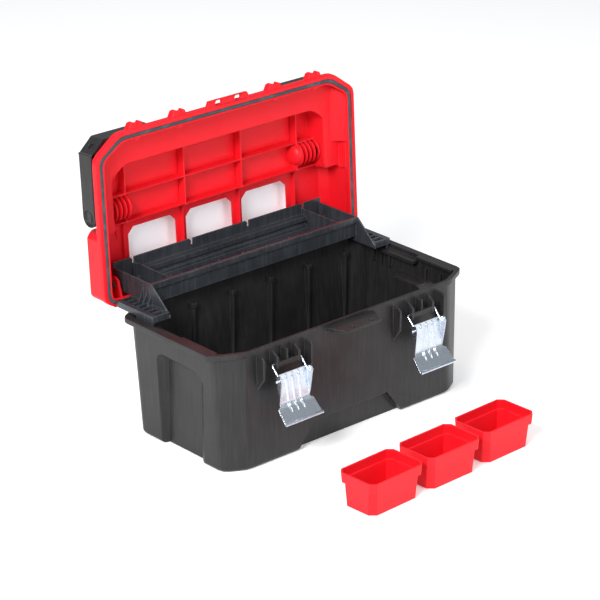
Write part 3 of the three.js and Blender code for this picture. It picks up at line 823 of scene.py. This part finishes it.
@dataclass
class DrawLatch:
    """A bent wire bail and a pressed lever that hangs on its turned-out ends."""

    side: Side
    middle: float = 0.136
    sheet: float = 1.3 * MM
    wire: float = 1.6 * MM
    fold: float = 2.2 * MM
    roll: float = 2.3 * MM
    rib_x: tuple[float, ...] = (-12 * MM, 0.0, 12 * MM)
    rib_height: float = 1.5 * MM
    rib_width: float = 1.4 * MM
    # Height and half width of the lever, and height and depth of its folded sides.
    widths: tuple[tuple[float, float], ...] = (
        (0.0740, 0.0368), (0.0970, 0.0345), (0.0990, 0.0300), (0.1000, 0.0290), (0.1460, 0.0310))
    folds: tuple[tuple[float, float], ...] = (
        (0.1005, 0.0), (0.1040, 1.6 * MM), (0.1260, 9.2 * MM), (0.1370, 12.6 * MM), (0.1470, 12.0 * MM))

    def build(self) -> None:
        """Builds and dresses the latch."""
        word = self.side.word
        shift = Matrix.Translation((self.side.value * self.middle, 0, 0))
        bail = self.bail().moved(shift)
        bail.piece(f"bail_wire_{word}", f"bail_{word}", Slot.ZINC, None, [f"latch_bail_{word}"])
        lever = self.lever().moved(shift)
        lever.piece(f"lever_pressing_{word}", f"lever_{word}", Slot.ZINC, Rounding(0.25 * MM, 2, 50.0),
                    [f"latch_lever_{word}"])

    def bail(self) -> Moulding:
        """Wire from one side of the lever, up through both hooks and down to the other side."""
        half = [(0.0350, -0.150, 0.140), (0.0272, -0.150, 0.140), (0.0280, -0.132, 0.1585)]
        corners = [Vector((-x, y, z)) for x, y, z in half] + [Vector(p) for p in reversed(half)]
        bail = Moulding().tube(softened(corners, 3.5 * MM, 5), self.wire, 14)
        for x in (-0.0350, 0.0350):
            bail.dome(Axis.X, (-0.150, 0.140), x, 2.3 * MM, math.copysign(1.0 * MM, x), 18)
        return bail

    def profile(self) -> Path:
        """Side view of the lever's face from its top down to the end of its rolled edge."""
        line = [Vector((0, y, z)) for y, z in (
            (-0.1420, 0.1460), (-0.1480, 0.1140), (-0.1505, 0.0990), (-0.1590, 0.0900), (-0.1705, 0.0780))]
        path = softened(line, 6 * MM, 5)
        fine = [path[0]]
        for a, b in zip(path, path[1:]):
            steps = max(1, round((b - a).length / (1.5 * MM)))
            fine += [a.lerp(b, (i + 1) / steps) for i in range(steps)]
        end = fine[-1]
        along = (end - fine[-2]).normalized()
        out = Vector((0, along.z, -along.y))
        centre = end + out * self.roll
        start = math.atan2(-out.z, -out.y)
        turns = [start - math.radians(300) * i / 16 for i in range(1, 17)]
        return fine + [centre + Vector((0, math.cos(a), math.sin(a))) * self.roll for a in turns]

    def row(self, point: Vector, along: Vector) -> Path:
        """Cross-section of the sheet at a point of its profile."""
        out = Vector((0, along.z, -along.y))
        half = table(self.widths, point.z)
        depth = table(self.folds, point.z)
        radius = min(self.fold, depth)
        fade = min(max((point.z - 0.0885) / 0.006, 0), 1) * min(max((0.1440 - point.z) / 0.006, 0), 1)
        flat = half - radius
        steps = 92
        middle = []
        for i in range(steps + 1):
            x = mix(-flat, flat, i / steps)
            press = sum(math.exp(-((x - rib) / self.rib_width) ** 2) for rib in self.rib_x)
            middle.append((x, self.rib_height * fade * press))
        turns = [math.pi / 2 * i / 5 for i in range(1, 6)]
        right = [(flat + radius * math.sin(a), radius - radius * math.cos(a)) for a in turns]
        right.append((half, depth))
        left = [(-x, n) for x, n in reversed(right)]
        return [Vector((x, point.y, point.z)) + out * n for x, n in left + middle + right]

    def lever(self) -> Moulding:
        """Pressed sheet with three ribs, folded sides, a flared foot and a rolled edge."""
        path = self.profile()
        rows = []
        for i, point in enumerate(path):
            along = (path[min(i + 1, len(path) - 1)] - path[max(i - 1, 0)]).normalized()
            rows.append(self.row(point, along))
        lever = Moulding().sheet(rows, self.sheet)
        for x in (-0.0205, 0.0205):
            lever.dome(Axis.Y, (0.1370, x), -0.1430, 3.4 * MM, -2.4 * MM, 24)
        return lever


@dataclass
class Bin:
    """A loose bin with a stepped rim."""

    word: str
    edge: float = 0.7 * MM

    def build(self) -> None:
        """Builds and dresses the bin."""
        name = f"bin_{self.word}"
        Moulding(name).piece(f"{name}_moulding", name, Slot.RED, Rounding(self.edge))


# ---- studio ----
@dataclass
class Studio:
    """White sweep, soft boxes and the camera."""

    azimuth: float = math.radians(-41.84)
    elevation: float = math.radians(22.83)
    distance: float = 4.002
    target: tuple[float, float, float] = (0.0089, 0.0, 0.1713)
    lens: float = 158.3

    def build(self) -> None:
        """Builds the floor, the lights and the camera."""
        self.floor()
        self.world()
        self.soft_box("key", (-2.6, -1.2, 2.2), 1.2, 135.0)
        self.soft_box("front", (0.6, -3.2, 1.6), 1.6, 38.0)
        self.soft_box("top", (0.4, 0.8, 3.4), 2.4, 40.0)
        self.camera()

    def floor(self) -> None:
        """Large flat sheet of paper."""
        mesh = bpy.data.meshes.new("studio_floor")
        reach = 30.0
        mesh.from_pydata([(-reach, -reach, 0), (reach, -reach, 0), (reach, reach, 0), (-reach, reach, 0)], [],
                         [(0, 1, 2, 3)])
        mesh.materials.append(StudioPaper().material())
        floor = bpy.data.objects.new("studio_floor", mesh)
        floor.location.z = -0.0005
        bpy.context.scene.collection.objects.link(floor)

    def world(self) -> None:
        """Even white surround."""
        world = bpy.data.worlds.new("studio_surround")
        world.use_nodes = True
        sky = world.node_tree.nodes["Background"]
        sky.inputs["Color"].default_value = (0.93, 0.97, 1.0, 1.0)
        sky.inputs["Strength"].default_value = 0.34
        bpy.context.scene.world = world
        bpy.context.scene.view_settings.view_transform = "Standard"

    def soft_box(self, name: str, place: tuple[float, float, float], size: float, power: float) -> None:
        """Square area light that faces the box."""
        light = bpy.data.lights.new(name, "AREA")
        light.size = size
        light.energy = power
        lamp = bpy.data.objects.new(name, light)
        lamp.location = place
        lamp.rotation_euler = (Vector(self.target) - Vector(place)).to_track_quat("-Z", "Y").to_euler()
        bpy.context.scene.collection.objects.link(lamp)

    def camera(self) -> None:
        """Long lens from the front left, a little above the box."""
        a, e = self.azimuth, self.elevation
        back = Vector((math.sin(a) * math.cos(e), -math.cos(a) * math.cos(e), math.sin(e)))
        lens = bpy.data.cameras.new("camera")
        lens.lens = self.lens
        lens.sensor_width = 36.0
        lens.clip_end = 100.0
        camera = bpy.data.objects.new("camera", lens)
        camera.location = Vector(self.target) + back * self.distance
        camera.rotation_euler = (-back).to_track_quat("-Z", "Y").to_euler()
        bpy.context.scene.collection.objects.link(camera)
        bpy.context.scene.camera = camera


def main() -> None:
    """Builds the box and its studio, and notes the size of the visual model."""
    logging.basicConfig(level=logging.INFO, format="%(message)s")
    parts = [Studio(), Body(), Lid(), CarryHandle(), Cover(), Tray()]
    parts += [DrawLatch(side) for side in Side]
    parts += [Bin(word) for word in ("left", "middle", "right")]
    for part in parts:
        part.build()
        LOG.info("built %s", type(part).__name__)
    bpy.context.view_layer.update()


if __name__ == "__main__":
    main()
